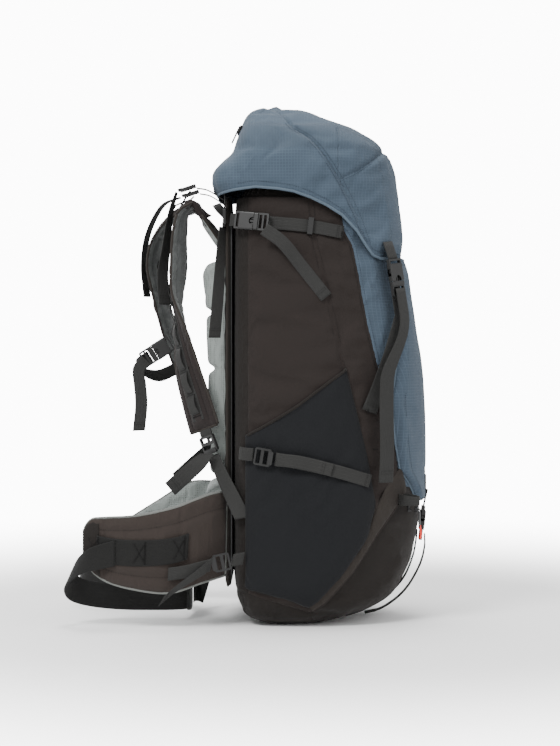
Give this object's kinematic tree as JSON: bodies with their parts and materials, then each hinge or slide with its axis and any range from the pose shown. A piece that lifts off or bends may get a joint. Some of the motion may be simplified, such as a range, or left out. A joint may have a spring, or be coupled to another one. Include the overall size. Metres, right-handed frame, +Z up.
{
  "type": "hiking backpack",
  "caption": "Large framed hiking backpack with floating top lid, padded shoulder harness and hip belt, stretch side pockets, front pocket, and compression straps with side-release buckles.",
  "frame": {"origin": "middle of the flat base on which the pack stands", "axes": "+X away from the wearer, out of the front panel; +Y towards the wearer's right side; +Z up"},
  "size_m": [0.5802, 0.3704, 0.815],
  "materials": {
    "shell_blue": "ripstop weave, matt",
    "shell_brown": "plain weave, matt",
    "stretch_slate": "stretch knit, matt",
    "lining_grey": "coated lining",
    "sheet_plastic": "matt",
    "stay_aluminium": "satin",
    "pad_mesh_grey": "spacer mesh",
    "pad_brown": "plain weave, matt",
    "webbing_grey": "woven webbing",
    "webbing_belt": "woven webbing",
    "buckle_black": "satin moulded",
    "zip_black": "coil zip tape",
    "zip_slider_metal": "satin",
    "zip_puller_red": "cord puller"
  },
  "bodies": {
    "pack": {"back_pads": "pad_mesh_grey", "back_panel": "shell_brown", "base_panel": "shell_brown", "belt_buckle_socket": "buckle_black", "belt_webbing_left": "webbing_belt", "belt_webbing_right": "webbing_belt", "bottom_compartment": "shell_brown", "bottom_zipper": "zip_black", "frame_stays": "stay_aluminium", "framesheet": "sheet_plastic", "front_buckle_socket": "buckle_black", "front_panel": "shell_blue", "front_pocket": "shell_blue", "front_pocket_straps": "webbing_grey", "gear_loops": "webbing_grey", "harness_yoke": "pad_brown", "haul_loop": "webbing_grey", "hip_wing_left": "pad_brown", "hip_wing_right": "pad_brown", "hydration_sleeve": "lining_grey", "lid_front_straps": "webbing_grey", "lid_rear_straps": "webbing_grey", "load_lifters": "webbing_grey", "lower_shoulder_straps": "webbing_grey", "lower_straps": "webbing_grey", "lumbar_pad": "pad_mesh_grey", "pack_ladder_locks": "buckle_black", "side_panel_left": "shell_brown", "side_panel_right": "shell_brown", "side_pocket_left": "stretch_slate", "side_pocket_right": "stretch_slate", "snow_collar": "shell_brown", "stabiliser_anchors": "webbing_grey", "stabiliser_left": "webbing_grey", "stabiliser_right": "webbing_grey", "strap_keepers": "buckle_black", "upper_buckle_sockets": "buckle_black", "upper_straps": "webbing_grey"},
    "lid": {"lid_pocket": "shell_blue", "lid_skirt": "shell_blue", "lid_zipper": "zip_black", "lid_front_tabs": "webbing_grey", "lid_buckle_sockets": "buckle_black"},
    "lid_zip_slider": {"lid_zipper_slider": "zip_slider_metal"},
    "bottom_zip_slider": {"bottom_zipper_slider": "zip_puller_red"},
    "lid_prong_left": {"lid_buckle_prong_left": "buckle_black"},
    "lid_prong_right": {"lid_buckle_prong_right": "buckle_black"},
    "upper_prong_left": {"upper_buckle_prong_left": "buckle_black"},
    "upper_prong_right": {"upper_buckle_prong_right": "buckle_black"},
    "front_prong": {"front_buckle_prong": "buckle_black"},
    "harness": {"shoulder_strap_left": "pad_brown", "shoulder_strap_right": "pad_brown", "harness_locks": "buckle_black", "shoulder_tails": "webbing_grey", "load_lifter_tails": "webbing_grey", "sternum_strap_left": "webbing_grey", "sternum_strap_right": "webbing_grey", "sternum_buckle_socket": "buckle_black"},
    "sternum_prong": {"sternum_buckle_prong": "buckle_black"},
    "belt_prong": {"belt_buckle_prong": "buckle_black"}
  },
  "joints": [
    {"name": "lid_hinge", "type": "hinge", "parent": "pack", "child": "lid", "pos_m": [-0.13, 0, 0.68], "axis": [0, -1, 0], "range_deg": [0, 55]},
    {"name": "lid_zip", "type": "slide", "parent": "lid", "child": "lid_zip_slider", "axis": [0, 1, 0], "range_m": [0, 0.144]},
    {"name": "bottom_zip", "type": "hinge", "parent": "pack", "child": "bottom_zip_slider", "pos_m": [-0.073, 0, 0.177], "axis": [0, 0, 1], "range_deg": [0, 10]},
    {"name": "lid_release_left", "type": "slide", "parent": "pack", "child": "lid_prong_left", "axis": [0.153, 0, -0.9882], "range_m": [0, 0.025]},
    {"name": "lid_release_right", "type": "slide", "parent": "pack", "child": "lid_prong_right", "axis": [0.153, 0, -0.9882], "range_m": [0, 0.025]},
    {"name": "upper_release_left", "type": "slide", "parent": "pack", "child": "upper_prong_left", "axis": [0.9425, -0.3207, -0.0942], "range_m": [0, 0.025]},
    {"name": "upper_release_right", "type": "slide", "parent": "pack", "child": "upper_prong_right", "axis": [0.9425, 0.3207, -0.0942], "range_m": [0, 0.025]},
    {"name": "front_release", "type": "slide", "parent": "pack", "child": "front_prong", "axis": [-0.0995, 0, -0.995], "range_m": [0, 0.025]},
    {"name": "harness_swing", "type": "hinge", "parent": "pack", "child": "harness", "pos_m": [-0.17, 0, 0.659], "axis": [0, 1, 0], "range_deg": [0, 18]},
    {"name": "sternum_release", "type": "slide", "parent": "harness", "child": "sternum_prong", "axis": [-0.8412, 0, -0.5408], "range_m": [0, 0.025]},
    {"name": "belt_release", "type": "slide", "parent": "pack", "child": "belt_prong", "axis": [0, 1, 0], "range_m": [0, 0.034]}
  ]
}
